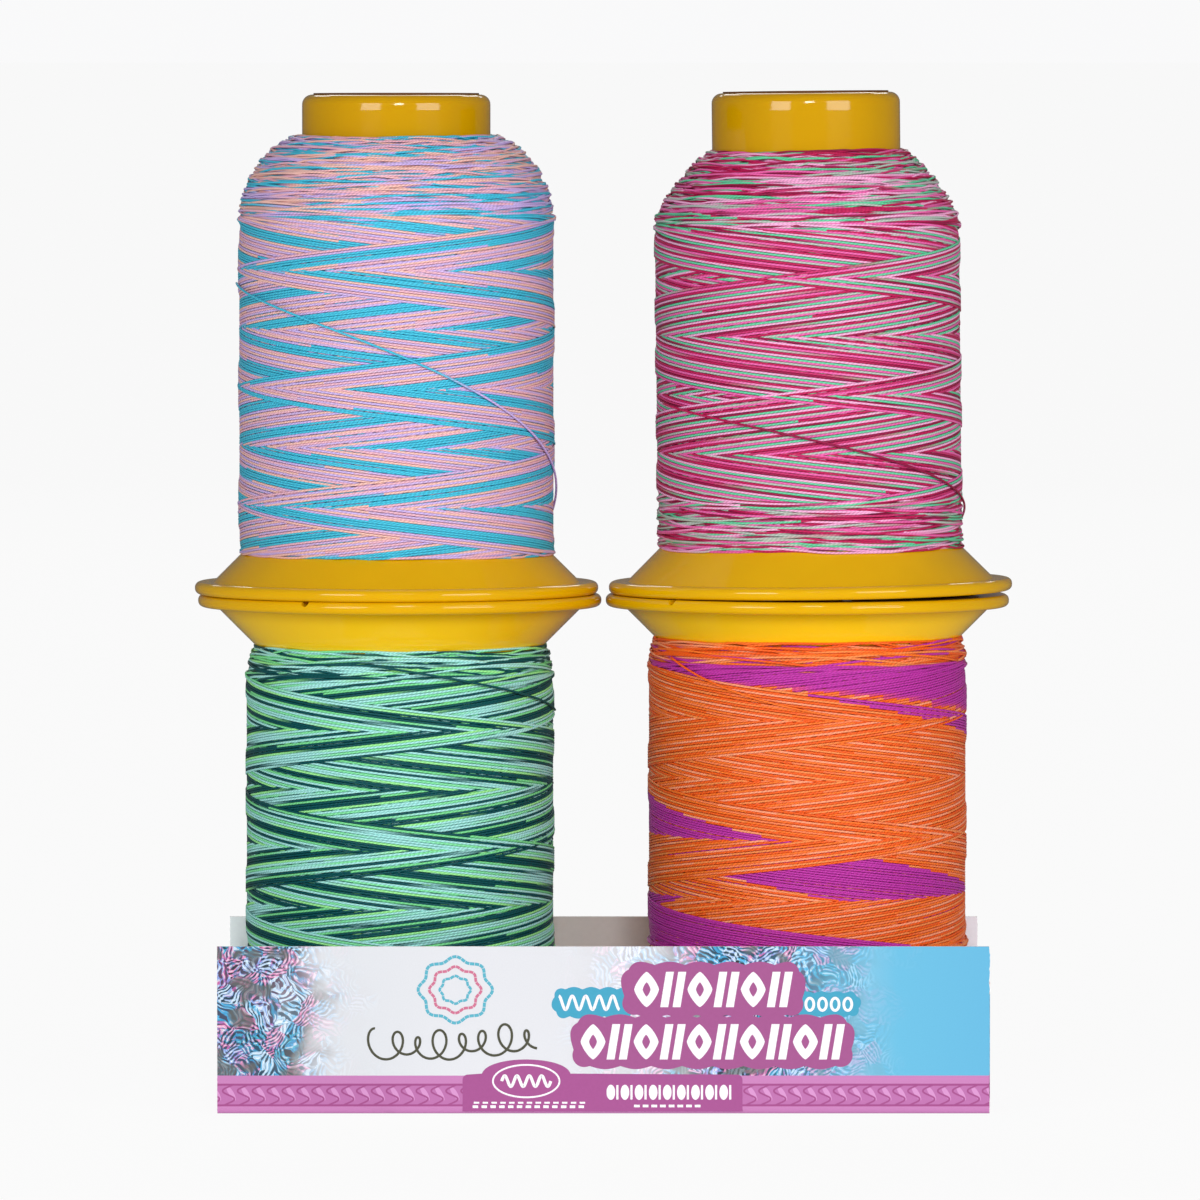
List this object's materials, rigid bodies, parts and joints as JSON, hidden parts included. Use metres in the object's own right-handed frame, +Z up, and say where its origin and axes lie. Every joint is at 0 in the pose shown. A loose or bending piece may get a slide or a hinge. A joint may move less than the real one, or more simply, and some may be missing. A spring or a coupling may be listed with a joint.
{
  "type": "serger thread pack",
  "caption": "Low printed card tray holding two stacks of flanged yellow thread spools, set flange to flange, wound with variegated serger thread, that lift out one at a time.",
  "frame": {"origin": "on the table under the middle of the tray", "axes": "+X to the right along the printed front, +Y to the back of the tray, +Z up along the spools"},
  "size_m": [0.1146, 0.059, 0.1413],
  "materials": {
    "printed_card": "printed white card, satin",
    "yellow_plastic": "glossy golden yellow moulded plastic",
    "thread_aqua_lilac": "variegated twisted thread in aqua, lilac and peach",
    "thread_pink_mint": "variegated twisted thread in crimson, pink and mint",
    "thread_green": "variegated twisted thread in dark teal, mint and lime",
    "thread_orange": "variegated twisted thread in orange, coral and purple",
    "label_paper": "matt paper label, plain rings"
  },
  "bodies": {
    "tray": {"tray_floor": "printed_card", "tray_front_panel": "printed_card", "tray_back_panel": "printed_card", "tray_left_end": "printed_card", "tray_right_end": "printed_card", "tray_glue_tabs": "printed_card"},
    "lower_left_spool": {"lower_left_spool": "yellow_plastic", "lower_left_winding": "thread_green", "lower_left_tail": "thread_green", "lower_left_label": "label_paper"},
    "lower_right_spool": {"lower_right_spool": "yellow_plastic", "lower_right_winding": "thread_orange", "lower_right_tail": "thread_orange", "lower_right_label": "label_paper"},
    "upper_left_spool": {"upper_left_spool": "yellow_plastic", "upper_left_winding": "thread_aqua_lilac", "upper_left_tail": "thread_aqua_lilac", "upper_left_label": "label_paper"},
    "upper_right_spool": {"upper_right_spool": "yellow_plastic", "upper_right_winding": "thread_pink_mint", "upper_right_tail": "thread_pink_mint", "upper_right_label": "label_paper"}
  },
  "joints": [
    {"name": "lift_lower_left", "type": "slide", "parent": "tray", "child": "lower_left_spool", "axis": [0, 0, 1], "range_m": [0, 0.06]},
    {"name": "lift_lower_right", "type": "slide", "parent": "tray", "child": "lower_right_spool", "axis": [0, 0, 1], "range_m": [0, 0.06]},
    {"name": "lift_upper_left", "type": "slide", "parent": "lower_left_spool", "child": "upper_left_spool", "axis": [0, 0, 1], "range_m": [0, 0.09]},
    {"name": "lift_upper_right", "type": "slide", "parent": "lower_right_spool", "child": "upper_right_spool", "axis": [-0.0105, 0, 0.9999], "range_m": [0, 0.09]}
  ]
}
